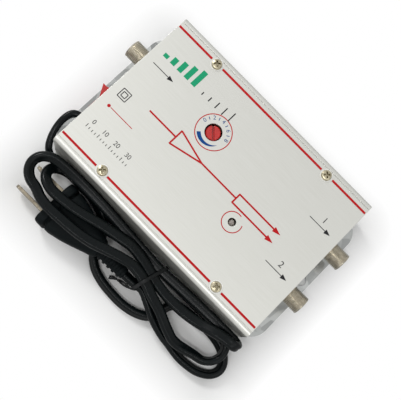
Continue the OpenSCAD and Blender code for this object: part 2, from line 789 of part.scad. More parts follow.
module mains_wires() {
    inner_x = -end_x + end_t + 2 + fit_gap;
    bobbin_x = core_x - bobbin_l / 2 - fit_gap;
    line_y = switch_y - 3.5 - 0.4 - fit_gap;
    far_y = switch_y + 3.5;
    far_x = terminal_x + terminal_l + fit_gap;
    color("sienna") {
        tube(curve([
            [inner_x, bushing_y + 1.2, bushing_z], [inner_x + 3.5, bushing_y + 1.2, bushing_z],
            [terminal_x - 0.5, bushing_y + 2.1, (bushing_z + switch_z) / 2],
            [terminal_x + 3.4, switch_y - 8, switch_z],
            [terminal_x + 4, line_y - 1.6, switch_z], [terminal_x + 4, line_y, switch_z]
        ], 4), 0.9, 8, [1, 0, 0], [0, 1, 0]);
        tube(curve([
            [inner_x, bushing_y - 1.2, bushing_z], [inner_x + 3.5, bushing_y - 1.2, bushing_z],
            [terminal_x + 2, core_y - 8.6, (bushing_z + core_z) / 2 - 1],
            [terminal_x + 9, core_y - 8.5, core_z - 1],
            [bobbin_x - 2.5, core_y - 8.5, core_z], [bobbin_x, core_y - 8.5, core_z]
        ], 4), 0.9, 8, [1, 0, 0], [1, 0, 0]);
        tube(curve([
            [far_x, far_y, switch_z],
            [far_x + 1.5, far_y, switch_z],
            [bobbin_x - 4.2, core_y + 8.6, core_z - 1],
            [bobbin_x - 1.8, core_y + 8.5, core_z], [bobbin_x, core_y + 8.5, core_z]
        ], 4), 0.9, 8, [1, 0, 0], [1, 0, 0]);
    }
}

module cord_lead() {
    color("black") tube(curve(lead_points, 3), cord_r, 8, [-1, 0, 0], [1, 0, 0]);
}

module cord_hank() {
    color("black") tube(curve(hank_points, 2), cord_r, 6, [1, 0, 0], [-1, 0, 0]);
}

module tie_outline(grow) {
    hull() for (slot = tie_slots) translate(slot) circle(r = cord_r + grow, $fn = 20);
}

module cord_tie() {
    color("black") translate([tie_x - tie_w / 2, 0, 0]) rotate([90, 0, 90])
        linear_extrude(height = tie_w) difference() {
            tie_outline(tie_gap + tie_t);
            tie_outline(tie_gap);
        }
}

module plug_section(x, w, t, r) {
    translate([x, 0, 0]) rotate([0, 90, 0]) rounded_plate(t, w, 0.1, r);
}

module plug_body() {
    color("black") {
        translate([plug_x, plug_y, plug_z]) rotate([0, -plug_lean, 0]) {
            rotate([0, 90, 0]) rounded_plate(plug_t, plug_w, slab_l, 2.5);
            translate([slab_l - 0.1, 0, 0]) rotate([0, 90, 0])
                rounded_plate(plug_t - 4, plug_w - 4, groove_l + 0.2, 2);
            hull() {
                plug_section(slab_l + groove_l, plug_w - 0.6, plug_t - 2.5, 2.5);
                plug_section(slab_l + groove_l + plug_body_l * 0.35, plug_w * 0.85, 9.6, 3);
            }
            hull() {
                plug_section(slab_l + groove_l + plug_body_l * 0.35, plug_w * 0.85, 9.6, 3);
                plug_section(slab_l + groove_l + plug_body_l - 0.1, 10, 7.8, 3.4);
            }
        }
        along_x(relief_x - 0.8, plug_y, relief_z) cylinder(h = relief_l + 0.8, r1 = 3, r2 = 2.5);
        for (i = [0 : 4]) along_x(relief_x + 0.8 + 2.8 * i, plug_y, relief_z)
            cylinder(h = 1.7, r = 3.7 - 0.12 * i);
    }
}

module plug_pins() {
    color("tan") translate([plug_x, plug_y, plug_z]) rotate([0, -plug_lean, 0])
        for (side = [-1, 1]) translate([0, side * pin_pitch / 2 - pin_t / 2, 0]) rotate([90, 0, 180])
            translate([0, -pin_w / 2, 0]) linear_extrude(height = pin_t) polygon([
                [0, 0], [pin_l - 1.6, 0], [pin_l, 1.6], [pin_l, pin_w - 1.6],
                [pin_l - 1.6, pin_w], [0, pin_w]
            ]);
}

echo(hank_gap = least_gap(curve(hank_points, 3), 3 * cord_d));
echo(cord_length = length_of(curve(lead_points, 6)) + length_of(curve(hank_points, 6)));

base_plate();
input_end_plate();
output_end_plate();
plate_rivets();
top_cover();
cover_pillars();
cover_screws();
circuit_board();
board_spacers();
board_screws();
transformer_core();
transformer_bobbin();
transformer_clamp();
filter_capacitors();
rectifier_diodes();
regulator();
amplifier_transistors();
ferrite_cores();
ceramic_capacitors();
gain_pot();
gain_knob();
power_lamp();
lamp_leads();
input_connector();
output_connector_1();
output_connector_2();
connector_insulators();
connector_contacts();
connector_nuts();
switch_housing();
switch_rocker();
switch_terminals();
cord_bushing();
mains_wires();
cord_lead();
cord_hank();
cord_tie();
plug_body();
plug_pins();
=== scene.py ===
import math

import bmesh
import bpy
import numpy as np
from mathutils import Matrix


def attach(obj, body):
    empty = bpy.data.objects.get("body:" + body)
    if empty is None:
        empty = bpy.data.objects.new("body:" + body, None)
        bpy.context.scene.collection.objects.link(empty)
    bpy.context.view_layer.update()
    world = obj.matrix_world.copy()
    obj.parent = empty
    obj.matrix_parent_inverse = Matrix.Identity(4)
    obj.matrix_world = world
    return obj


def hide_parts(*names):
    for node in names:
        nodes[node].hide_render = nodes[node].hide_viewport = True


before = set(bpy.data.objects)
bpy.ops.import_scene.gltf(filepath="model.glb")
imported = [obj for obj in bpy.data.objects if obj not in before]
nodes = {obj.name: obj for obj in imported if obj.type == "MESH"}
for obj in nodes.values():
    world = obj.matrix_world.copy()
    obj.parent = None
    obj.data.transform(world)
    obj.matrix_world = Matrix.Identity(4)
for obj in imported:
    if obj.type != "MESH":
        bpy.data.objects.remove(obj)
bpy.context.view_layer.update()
mm = 0.001
print("frame loaded:", len(nodes), "nodes")

# the camera of the photograph, solved from the box's own corners
view = {
    "position": (11.74, -87.36, 372.85),   # mm
    "right": (0.70005, 0.70138, 0.13419),
    "down": (0.71372, -0.68112, -0.16332),
    "forward": (-0.02315, 0.2101, -0.97741),
    "focalPixels": 800,
    "imageWidth": 401,
    "sensor": 36.0,
}


def placeCamera():
    data = bpy.data.cameras.new("photoCamera")
    data.sensor_fit = "HORIZONTAL"
    data.sensor_width = view["sensor"]
    data.lens = view["focalPixels"] / view["imageWidth"] * view["sensor"]
    data.clip_start = 0.01
    data.clip_end = 20
    camera = bpy.data.objects.new("photoCamera", data)
    columns = np.eye(4)
    columns[:3, 0] = view["right"]
    columns[:3, 1] = -np.array(view["down"])
    columns[:3, 2] = -np.array(view["forward"])
    columns[:3, 3] = np.array(view["position"]) * mm
    camera.matrix_world = Matrix(columns.tolist())
    bpy.context.scene.collection.objects.link(camera)
    bpy.context.scene.camera = camera


placeCamera()
print("camera placed")


def linear(hexColour):
    # sRGB hex to linear light
    parts = np.array([int(hexColour[i:i + 2], 16) / 255 for i in (1, 3, 5)])
    light = np.where(parts <= 0.04045, parts / 12.92, ((parts + 0.055) / 1.055) ** 2.4)
    return (*light.tolist(), 1.0)


def addNode(tree, kind, settings=None, links=None):
    node = tree.nodes.new(kind)
    for name, value in (settings or {}).items():
        if name in node.inputs:
            node.inputs[name].default_value = value
        else:
            setattr(node, name, value)
    for name, socket in (links or {}).items():
        tree.links.new(socket, node.inputs[name])
    return node


def startMaterial(name, settings):
    material = bpy.data.materials.new(name)
    material.use_nodes = True
    tree = material.node_tree
    shader = tree.nodes["Principled BSDF"]
    for key, value in settings.items():
        shader.inputs[key].default_value = value
    return material, tree, shader


def perMetre(millimetres):
    # pattern repeats per metre for a feature of that many millimetres
    return 1000.0 / millimetres


def speckled(name, colours, grain, settings, bump=0.0, stretch=(1, 1, 1)):
    # two close tones mixed by noise of that grain, with a little relief from the same noise
    material, tree, shader = startMaterial(name, settings)
    coords = addNode(tree, "ShaderNodeTexCoord")
    mapping = addNode(tree, "ShaderNodeMapping", {"Scale": stretch}, {"Vector": coords.outputs["Object"]})
    noise = addNode(tree, "ShaderNodeTexNoise", {"Scale": perMetre(grain), "Detail": 4.0, "Roughness": 0.6},
                    {"Vector": mapping.outputs["Vector"]})
    ramp = addNode(tree, "ShaderNodeValToRGB", None, {"Fac": noise.outputs["Fac"]})
    ramp.color_ramp.elements[0].position = 0.32
    ramp.color_ramp.elements[1].position = 0.68
    ramp.color_ramp.elements[0].color = linear(colours[0])
    ramp.color_ramp.elements[1].color = linear(colours[1])
    tree.links.new(ramp.outputs["Color"], shader.inputs["Base Color"])
    if bump:
        relief = addNode(tree, "ShaderNodeBump", {"Strength": bump, "Distance": 0.0002},
                         {"Height": noise.outputs["Fac"]})
        tree.links.new(relief.outputs["Normal"], shader.inputs["Normal"])
    return material


def galvanisedSteel():
    # hot dipped zinc: flat crystals some millimetres across, each a slightly different grey
    material, tree, shader = startMaterial("galvanisedSteel", {"Metallic": 0.85, "Roughness": 0.42})
    coords = addNode(tree, "ShaderNodeTexCoord")
    crystals = addNode(tree, "ShaderNodeTexVoronoi", {"Scale": perMetre(5.5), "Randomness": 1.0},
                       {"Vector": coords.outputs["Object"]})
    grey = addNode(tree, "ShaderNodeSeparateColor", None, {"Color": crystals.outputs["Color"]})
    ramp = addNode(tree, "ShaderNodeValToRGB", None, {"Fac": grey.outputs["Red"]})
    ramp.color_ramp.elements[0].color = linear("#8a8c8b")
    ramp.color_ramp.elements[1].color = linear("#bfc1bf")
    gloss = addNode(tree, "ShaderNodeMapRange", {"To Min": 0.3, "To Max": 0.55},
                    {"Value": grey.outputs["Green"]})
    tree.links.new(ramp.outputs["Color"], shader.inputs["Base Color"])
    tree.links.new(gloss.outputs["Result"], shader.inputs["Roughness"])
    return material


inkFinish = {"Roughness": 0.5, "Specular IOR Level": 0.2}
materials = {
    # satin anodised aluminium: pale warm silver with fine brush lines along the extrusion
    "cover": speckled("satinAluminium", ("#c4c4be", "#cacac5"), 0.3,
                      {"Metallic": 1.0, "Roughness": 0.42}, 0.008, (0.02, 1, 1)),
    # painted highlight: a pale flat ring round each screw head that stands for the shine on the head's rim,
    # brighter than the satin face
    "rimHighlight": speckled("paintedRimHighlight", ("#eeeeea", "#f6f6f3"), 0.4, {"Metallic": 0.3, "Roughness": 0.3}),
    "galvanised": galvanisedSteel(),
    # cold rolled steel sheet of the end plates: plain grey with faint rolling lines
    "sheetSteel": speckled("rolledSteel", ("#a4a7a9", "#b9bcbd"), 0.5,
                           {"Metallic": 0.8, "Roughness": 0.4}, 0.05, (1, 0.02, 1)),
    # nickel plated brass of the sockets: warm yellowish grey, fairly bright
    "nickel": speckled("nickelPlate", ("#b0aa9c", "#d6d0c2"), 1.2,
                       {"Metallic": 0.95, "Roughness": 0.27}, 0.05),
    # zinc passivated screws: pale brassy silver
    "screw": speckled("passivatedSteel", ("#8f8872", "#bdb59d"), 0.8,
                      {"Metallic": 0.95, "Roughness": 0.3}, 0.05),
    # stamped contact brass: clean yellow
    "brass": speckled("contactBrass", ("#b48d3c", "#d3ae5a"), 0.6,
                      {"Metallic": 1.0, "Roughness": 0.3}, 0.03),
    # worn plating of the plug pins: brownish grey with brighter rubbed patches
    "pins": speckled("wornPlate", ("#746c5e", "#a59c8a"), 2.5, {"Metallic": 0.9, "Roughness": 0.38}, 0.06),
    # extruded PVC sheath: near black, faintly green, soft sheen
    "cord": speckled("flexPvc", ("#060a0b", "#0c1213"), 0.9,
                     {"Roughness": 0.24, "Specular IOR Level": 0.13}, 0.012),
    # moulded PVC of the plug: the same black, duller and finely grained
    "plug": speckled("mouldedPvc", ("#0c1011", "#151a1b"), 0.4,
                     {"Roughness": 0.55, "Specular IOR Level": 0.06}, 0.12),
    # moulded ABS of the switch housing and bushing: black with a fine matt grain
    "black": speckled("blackAbs", ("#0e1011", "#181a1b"), 0.3,
                      {"Roughness": 0.4, "Specular IOR Level": 0.2}, 0.08),
    # glossy moulded ABS of the rocker and knob
    "red": speckled("redAbs", ("#b81f1d", "#cf2d29"), 1.5, {"Roughness": 0.26, "Coat Weight": 0.25}, 0.02),
    # clear resin of the unlit lamp: milky, lets half the light through
    "lamp": speckled("lampResin", ("#c9bdb4", "#e3d9d0"), 1.0,
                     {"Roughness": 0.12, "Transmission Weight": 0.5, "IOR": 1.5}),
    # parts inside: brown paper laminate, varnished core sheets, yellow nylon, shrunk sleeve
    "laminate": speckled("phenolicBoard", ("#8a5c2a", "#a3733c"), 1.5, {"Roughness": 0.5}, 0.05),
    "core": speckled("varnishedSheets", ("#2b2c2e", "#46484a"), 0.4, {"Metallic": 0.6, "Roughness": 0.5},
                     0.2, (0.05, 1, 0.05)),
    "nylon": speckled("bobbinNylon", ("#c9a63a", "#dab94e"), 0.8, {"Roughness": 0.45}, 0.05),
    "sleeve": speckled("capacitorSleeve", ("#15204a", "#1d2b60"), 2.0, {"Roughness": 0.3}),
    # black epoxy, grey ferrite, dipped ceramic, milky polyethylene, blue phenolic, brown wire
    "epoxy": speckled("mouldedEpoxy", ("#161616", "#232323"), 0.25, {"Roughness": 0.55}, 0.1),
    "ferrite": speckled("sinteredFerrite", ("#26292b", "#3a3d40"), 0.3, {"Roughness": 0.6}, 0.15),
    "ceramic": speckled("ceramicCoat", ("#a5602b", "#bd7a3e"), 0.5, {"Roughness": 0.5}, 0.08),
    "polyethylene": speckled("whitePolyethylene", ("#dcdad2", "#efede6"), 0.8, {"Roughness": 0.4}, 0.03),
    "potBody": speckled("potBody", ("#1f4f90", "#2d62a8"), 0.6, {"Roughness": 0.45}, 0.05),
    "wire": speckled("wirePvc", ("#6b3517", "#80431f"), 1.0, {"Roughness": 0.4}),
    # screen printed inks: flat, slightly uneven cover
    "redInk": speckled("redInk", ("#bd141a", "#ca1e21"), 0.5, inkFinish),
    "blackInk": speckled("blackInk", ("#19191b", "#262628"), 0.5, inkFinish),
    "blueInk": speckled("blueInk", ("#063f82", "#0e4c92"), 0.5, inkFinish),
    "greenInk": speckled("greenInk", ("#189a6c", "#25ae7c"), 0.5, inkFinish),
}
print("materials made:", len(materials))


def buildMesh(name, grids, upward=False):
    # each grid is rows x columns of points; wrap closes it across, loop along, caps fill its ends
    points, faces, start = [], [], 0
    for grid in grids:
        field = np.asarray(grid["points"], float)
        rows, cols = field.shape[:2]
        ids = np.arange(rows * cols).reshape(rows, cols) + start
        if grid.get("wrap"):
            ids = np.concatenate([ids, ids[:, :1]], axis=1)
        if grid.get("loop"):
            ids = np.concatenate([ids, ids[:1]], axis=0)
        quads = np.stack([ids[:-1, :-1], ids[1:, :-1], ids[1:, 1:], ids[:-1, 1:]], axis=-1).reshape(-1, 4)
        faces += quads.tolist()
        if grid.get("caps"):
            around = np.arange(rows * cols).reshape(rows, cols) + start
            faces += [around[0].tolist(), around[-1].tolist()]
        points.append(field.reshape(-1, 3))
        start += rows * cols
    mesh = bpy.data.meshes.new(name)
    mesh.from_pydata((np.concatenate(points) * mm).tolist(), [], faces)
    work = bmesh.new()
    work.from_mesh(mesh)
    bmesh.ops.remove_doubles(work, verts=work.verts, dist=1e-7)
    bmesh.ops.recalc_face_normals(work, faces=work.faces)
    if upward:
        bmesh.ops.reverse_faces(work, faces=[face for face in work.faces if face.normal.z < 0])
    work.to_mesh(mesh)
    work.free()
    return mesh


def addPiece(name, mesh, material, body="chassis", replaced=(), smooth=50):
    piece = bpy.data.objects.new(name, mesh)
    bpy.context.scene.collection.objects.link(piece)
    mesh.materials.clear()
    mesh.materials.append(materials[material])
    if smooth:
        mesh.shade_smooth()
        mesh.set_sharp_from_angle(angle=math.radians(smooth))
    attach(piece, body)
    if replaced:
        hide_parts(*replaced)
    return piece


# mains cord: flat twin flex, from the bushing into the tied hank and on to the plug
cord = {
    "width": 5.0,          # mm
    "thickness": 3.7,
    "sides": 24,
    "step": 1.2,           # mm between rings
    "perSpan": 12,         # places between one point of the route and the next
    "exit": (-62.65, -22.6, 11),
    "lead": [
        (-62.65, -22.6, 11), (-64.3, -22.7, 11), (-65.9, -23.6, 11), (-67, -25.4, 11), (-67.5, -28.4, 10.9),
        (-67.3, -32, 10.5), (-66.4, -36, 9.6), (-64.9, -39.8, 8.4), (-62.6, -42.9, 7), (-58.6, -44.5, 5.4),
        (-54, -44.2, 4), (-48, -43.8, 2.9),
    ],
    "runs": [
        # low along the wall
        [(-48, -43.8, 2.9), (-30, -43.8, 2.6), (-8, -44.2, 2.9), (13, -45.2, 3.6), (30, -44.6, 3.6),
         (42, -44.4, 5.2), (51, -44.6, 7.7)],
        # outer strand over the plug
        [(51, -61.2, 6.9), (41, -63.4, 7.6), (34, -61.8, 9.6), (26, -58.8, 12), (19, -56.9, 13.5),
         (13, -54.8, 13.9), (4, -53.4, 15), (-3, -54.9, 16.2), (-10, -57.2, 16.6), (-17, -59.6, 16.6),
         (-25, -61.2, 16.6), (-33, -62, 16.5), (-41, -62.4, 16.2), (-47, -61.8, 15.4), (-52, -60, 14.4)],
        # top strand along the wall
        [(-52, -44.7, 15.5), (-42, -44.1, 14.8), (-32, -44, 13.8), (-22, -44.1, 12.6), (-10, -44.5, 10.6),
         (2, -45, 9.4), (13, -45.4, 8.7), (26, -44.8, 9.5), (40, -44.4, 11.4), (50, -44.3, 12.6),
         (55, -44.3, 12.8), (58, -44.3, 12.8)],
        # middle strand, back over the plug
        [(58, -46.9, 19.3), (55, -47.3, 19.1), (50, -48.4, 18), (43, -50.2, 15.6), (35, -51.6, 13.8),
         (25, -52, 12.4), (17, -51.2, 11.6), (13, -50.2, 11.5), (4, -48.4, 13.2), (-3, -47.8, 14.2),
         (-8, -48.6, 14.7), (-15, -50, 15), (-22, -51.7, 15.8), (-29, -53.7, 16.4), (-37, -55.3, 16.7),
         (-45, -56, 16.7)],
        # under the plug and round the outside on the floor
        [(-45, -44, 8.1), (-39, -43.9, 7.8), (-33, -44.1, 7.5), (-27, -45.5, 7.2), (-22.5, -47.3, 6.1),
         (-19, -50.2, 3.6), (-16.6, -53.4, 2.5), (-15, -57.6, 2.4), (-13, -62, 2.4), (-8, -65.6, 2.4),
         (-2, -67.4, 2.5), (4, -68.1, 2.5), (12, -68.1, 2.5), (19.6, -66.4, 2.4), (25, -63, 2.4),
         (27, -58.6, 2.4), (27.6, -54.2, 2.5), (30.5, -50.8, 2.5), (36, -49.6, 2.5), (43, -48.9, 2.5),
         (50, -48.4, 2.5)],
        # back to the plug
        [(50, -66.4, 2.5), (45, -66.2, 2.5), (40, -65.5, 3), (34, -64.8, 4.8), (27, -63, 7.2),
         (20, -59.8, 8.6), (14, -57.4, 9), (8.4, -58.2, 9.6), (3.35, -58.4, 10.01)],
    ],
    "reach": [9.4, -9.8, 3.4, -9.3, 15],     # how far each fold goes past the ends of its runs
    # degrees that the broad side is turned up from lying flat
    "leadRoll": 80,
    "runRoll": [60, 12, 15, 10, 58, 50],
    "foldRoll": [75, 50, 12, 50, 58],
    "settle": 8.0,         # mm of cord in which one roll turns into the next
    "squareness": 0.8,     # power of the section's outline, 1 is an ellipse
    "groove": 0.17,        # share of the thickness
    "grooveWidth": 0.28,   # share of half the width
    "steep": 0.75,         # a heading more upright than this keeps the roll that it had
    "draw": 0.3,           # how firmly each ring turns to its roll
    "floor": 0.02,         # mm, the underside lies flat on what the object stands on
}


def ease(share):
    return (1 - np.cos(np.pi * share)) / 2


def foldPoints(a, b, reach):
    # half an ellipse in plan that eases from one place and height to the other
    a, b = np.array(a), np.array(b)
    share = np.arange(1, 6)[:, None] / 6
    blend = np.hstack([0 * share, ease(share), ease(share)])
    return a + (b - a) * blend + np.hstack([reach * np.sin(np.pi * share), 0 * share, 0 * share])


def throughPoints(points, perSpan):
    # Catmull-Rom curve: passes each point heading parallel to its neighbours
    p = np.array(points)
    p = np.vstack([p[:1], p, p[-1:]])
    s = (np.arange(perSpan) / perSpan)[:, None, None]
    a, b, c, d = p[:-3], p[1:-2], p[2:-1], p[3:]
    square = (2 * a - 5 * b + 4 * c - d) * s ** 2
    cube = (3 * b - a - 3 * c + d) * s ** 3
    spans = 0.5 * (2 * b + (c - a) * s + square + cube)
    return np.vstack([spans.transpose(1, 0, 2).reshape(-1, 3), p[-1:]])


def travelled(path):
    return np.concatenate([[0], np.cumsum(np.linalg.norm(np.diff(path, axis=0), axis=1))])


def cordRoute():
    # lead, then runs and folds in turn on one smooth curve, cut into even steps; the roll follows along
    parts, rolls = [], [np.full(len(cord["lead"]) - 1, cord["leadRoll"])]
    for i, run in enumerate(cord["runs"]):
        parts.append(np.array(run, float))
        rolls.append(np.full(len(run), cord["runRoll"][i]))
        if i < len(cord["reach"]):
            parts.append(foldPoints(run[-1], cord["runs"][i + 1][0], cord["reach"][i]))
            rolls.append(np.full(len(parts[-1]), cord["foldRoll"][i]))
    perSpan = cord["perSpan"]
    fine = np.vstack([throughPoints(cord["lead"], perSpan)[:-1], throughPoints(np.vstack(parts), perSpan)])
    there = travelled(fine)
    even = np.linspace(0, there[-1], round(there[-1] / cord["step"]) + 1)
    path = np.stack([np.interp(even, there, fine[:, axis]) for axis in range(3)], axis=1)
    roll = np.interp(even, there[::perSpan], np.concatenate(rolls))
    near = np.abs(even[:, None] - even[None]) < cord["settle"]
    return path, np.radians(near @ roll / near.sum(axis=1)), there[-1]


def headings(path):
    forward = np.gradient(path, axis=0)
    return forward / np.linalg.norm(forward, axis=1)[:, None]


def pathFrames(path):
    # forward, sideways and upward directions along a path that never stands upright
    forward = headings(path)
    side = np.cross([0, 0, 1], forward)
    side /= np.linalg.norm(side, axis=1)[:, None]
    return forward, side, np.cross(forward, side)


def cordFrames(path, roll):
    # the broad side is carried along without twist, and drawn to its roll where the cord isn't steep
    forward = headings(path)
    across = np.empty_like(path)
    held = np.array([0.0, 0.0, 1.0])
    for i, ahead in enumerate(forward):
        level = np.cross([0, 0, 1], ahead)
        flatness = np.linalg.norm(level)
        if flatness > cord["steep"]:
            level /= flatness
            wanted = np.cos(roll[i]) * level + np.sin(roll[i]) * np.cross(ahead, level)
            held = held + cord["draw"] * wanted * (1 if held @ wanted >= 0 else -1)
        held = held - (held @ ahead) * ahead
        held /= np.linalg.norm(held)
        across[i] = held
    return across, np.cross(forward, across)


def makeCord():
    # flat oval section |cos|^p, |sin|^p with a groove along each broad side
    path, roll, length = cordRoute()
    across, thick = cordFrames(path, roll)
    angle = np.arange(cord["sides"]) * 2 * np.pi / cord["sides"]
    power = cord["squareness"]
    waist = 1 - cord["groove"] * np.exp(-(np.cos(angle) / cord["grooveWidth"]) ** 2)
    wide = cord["width"] / 2 * np.sign(np.cos(angle)) * np.abs(np.cos(angle)) ** power
    high = cord["thickness"] / 2 * np.sign(np.sin(angle)) * np.abs(np.sin(angle)) ** power * waist
    points = path[:, None] + wide[None, :, None] * across[:, None] + high[None, :, None] * thick[:, None]
    points[:, :, 2] = np.maximum(points[:, :, 2], cord["floor"])
    mesh = buildMesh("mainsCord", [{"points": points, "wrap": True, "caps": True}])
    piece = addPiece("mainsCord", mesh, "cord", replaced=("cord_lead", "cord_hank"))
    return piece, path, length


mainsCord, cordPath, cordLength = makeCord()
print("cord made, mm:", round(cordLength, 1))

# twist tie round the waist of the hank: the band follows the outermost strands and leans along the hank
tie = {
    "x": 13.0,
    "lean": 0.24,           # mm along X for each mm across
    "middle": -50.0,
    "slots": [(-45.2, 3.6), (-45.4, 8.7), (-50.2, 11.5), (-54.8, 13.9), (-57.4, 9.0)],
    "clear": 2.2 + 0.5,     # mm from a strand's centre to the inside of the band
    "width": 1.7,
    "thick": 0.7,
    "steps": 120,           # places round the hank
    "sides": 12,
    "tail": [(11.4, -59.4, 11.2), (9.6, -60.8, 9.2), (6.6, -61.4, 7.2), (3.4, -61.8, 5.6),
             (0.8, -62.6, 4.2), (-0.8, -63.8, 3.2)],
    "tailSteps": 14,
    "tailSides": 8,
    "twist": 7,             # radians of twist along the tail
    "offset": 0.5,          # mm of each end from the tail's middle line
    "tailRadius": 0.45,
}


def makeTie():
    # support outline: at each angle the strand that reaches furthest, pushed out by the clearance
    angle = np.arange(tie["steps"]) * 2 * np.pi / tie["steps"]
    normal = np.stack([np.cos(angle), np.sin(angle)], axis=1)
    slots = np.array(tie["slots"])
    base = slots[np.argmax(normal @ slots.T, axis=1)] + tie["clear"] * normal
    turn = np.arange(tie["sides"]) * 2 * np.pi / tie["sides"]
    lift = tie["thick"] / 2 * (1 + np.sin(turn))
    along = tie["width"] / 2 * np.sign(np.cos(turn)) * np.abs(np.cos(turn)) ** 0.5
    ring = base[:, None] + lift[None, :, None] * normal[:, None]
    place = tie["x"] + tie["lean"] * (ring[:, :, :1] - tie["middle"]) + along[None, :, None]
    band = np.concatenate([place, ring], axis=2)
    path = throughPoints(tie["tail"], tie["tailSteps"])
    forward, side, up = pathFrames(path)
    travel = np.linspace(0, 1, len(path))
    strands = []
    for phase in (0, np.pi):   # two ends twisted round each other
        twist = travel * tie["twist"] + phase
        centre = path + tie["offset"] * (np.cos(twist)[:, None] * side + np.sin(twist)[:, None] * up)
        around = (np.arange(tie["tailSides"]) * 2 * np.pi / tie["tailSides"])[None, :, None]
        ringOut = np.cos(around) * side[:, None] + np.sin(around) * up[:, None]
        tube = centre[:, None] + tie["tailRadius"] * ringOut
        strands.append({"points": tube, "wrap": True, "caps": True})
    mesh = buildMesh("twistTie", [{"points": band, "wrap": True, "loop": True}] + strands)
    return addPiece("twistTie", mesh, "black", replaced=("cord_tie",))


twistTie = makeTie()

# moulded plug: lofted rounded sections, then a ribbed strain relief that runs level
plug = {
    "front": (-42.5, -58.4, 6.5),
    "lean": math.radians(6.5),
    "bodyEnd": 31.0,
    "reliefEnd": 46.0,
    # distance from the front, half width, half thickness, squareness
    "sections": [
        (0.0, 0.2, 0.2, 5), (0.0, 9.6, 4.6, 5), (0.0, 11.0, 5.7, 5), (0.25, 11.6, 6.3, 5),
        (0.7, 11.8, 6.5, 5), (3.8, 11.8, 6.5, 5), (4.2, 11.6, 6.3, 5), (4.5, 11.2, 5.9, 5),
        (4.55, 9.8, 4.5, 4), (5.65, 9.8, 4.5, 4),
        (5.7, 11.0, 4.9, 4), (6.1, 11.5, 5.2, 4), (8.0, 11.45, 5.25, 4), (14.5, 10.0, 4.8, 3.4),
        (20.0, 8.3, 4.5, 3), (26.0, 6.2, 4.1, 2.6), (30.2, 4.9, 3.85, 2.3), (31.0, 4.2, 3.5, 2.1),
        (31.1, 3.1, 3.0, 2),
    ],
    "sides": 56,
    "ribs": 5,
    "ribPitch": 2.8,
    "ribStart": 0.8,       # mm past the body
    "ribShare": 0.62,      # of each pitch
    "ribSteep": 6,
    "ribHeight": (0.7, 0.5),   # mm, at the body and at the tail
    "core": (3.0, 2.6),
    "oval": 1.05,
    "reliefRows": 110,
}


def plugCentre(distance):
    # the middle line climbs at the lean as far as the body goes, then runs level
    climb = np.minimum(distance, plug["bodyEnd"])
    level = np.maximum(distance - plug["bodyEnd"], 0)
    x = plug["front"][0] + climb * math.cos(plug["lean"]) + level
    z = plug["front"][2] + climb * math.sin(plug["lean"])
    return np.stack([x, np.full_like(x, plug["front"][1]), z], axis=1)


def makePlug():
    # superellipse sections |y/a|^n + |z/b|^n = 1; the relief adds rounded ribs to a taper
    body = np.array(plug["sections"])
    ends = [plug["bodyEnd"], plug["reliefEnd"]]
    s = np.linspace(plug["bodyEnd"] + 0.2, plug["reliefEnd"], plug["reliefRows"])
    local = (s - plug["bodyEnd"] - plug["ribStart"]) / plug["ribPitch"]
    fromMiddle = np.abs((local % 1.0) - plug["ribShare"] / 2) * 2
    ribbed = (local > 0) * (local < plug["ribs"])
    rib = np.clip((plug["ribShare"] - fromMiddle) * plug["ribSteep"], 0, 1) * ribbed
    radius = np.interp(s, ends, plug["core"]) + rib * np.interp(s, ends, plug["ribHeight"])
    relief = np.stack([s, radius * plug["oval"], radius, np.full_like(s, 2.0)], axis=1)
    tip = np.array([[plug["reliefEnd"], 0.2, 0.2, 2]])
    rows = np.vstack([body, relief, tip])
    angle = np.arange(plug["sides"]) * 2 * np.pi / plug["sides"]
    power = 2 / rows[:, 3:4]
    y = rows[:, 1:2] * np.sign(np.cos(angle)) * np.abs(np.cos(angle)) ** power
    z = rows[:, 2:3] * np.sign(np.sin(angle)) * np.abs(np.sin(angle)) ** power
    tilt = np.where(rows[:, 0] <= plug["bodyEnd"], plug["lean"], 0)[:, None]
    offset = np.stack([-z * np.sin(tilt), y, z * np.cos(tilt)], axis=2)
    points = plugCentre(rows[:, 0])[:, None] + offset
    mesh = buildMesh("plugMoulding", [{"points": points, "wrap": True, "caps": True}])
    return addPiece("plugMoulding", mesh, "plug", replaced=("plug_body",), smooth=35)


plugMoulding = makePlug()


eased = {"merge": 2e-6, "flat": 1.0, "sharp": 40}   # m, degrees, degrees


def softened(node, material, width, body="chassis", segments=3):
    # a copy of a solid with its doubles merged, flat faces joined and its edges eased by a small bevel
    mesh = nodes[node].data.copy()
    work = bmesh.new()
    work.from_mesh(mesh)
    bmesh.ops.remove_doubles(work, verts=work.verts, dist=eased["merge"])
    bmesh.ops.dissolve_limit(work, angle_limit=math.radians(eased["flat"]), verts=work.verts, edges=work.edges)
    work.to_mesh(mesh)
    work.free()
    mesh.name = node + "Eased"
    piece = addPiece(node + "Eased", mesh, material, body, (node,), smooth=eased["sharp"])
    bevel = piece.modifiers.new("easedEdges", "BEVEL")
    bevel.width = width * mm
    bevel.segments = segments
    bevel.limit_method = "ANGLE"
    bevel.angle_limit = math.radians(eased["sharp"])
    bevel.harden_normals = True
    return piece


plugPins = softened("plug_pins", "pins", 0.25)
print("plug and tie made")

softened("top_cover", "cover", 0.12)
softened("base_plate", "galvanised", 0.2)
softened("input_end_plate", "sheetSteel", 0.15)
softened("output_end_plate", "sheetSteel", 0.15)
softened("switch_rocker", "red", 0.2, body="rocker")
softened("switch_housing", "black", 0.3)
softened("gain_knob", "red", 0.15, body="knob")
print("edges eased")

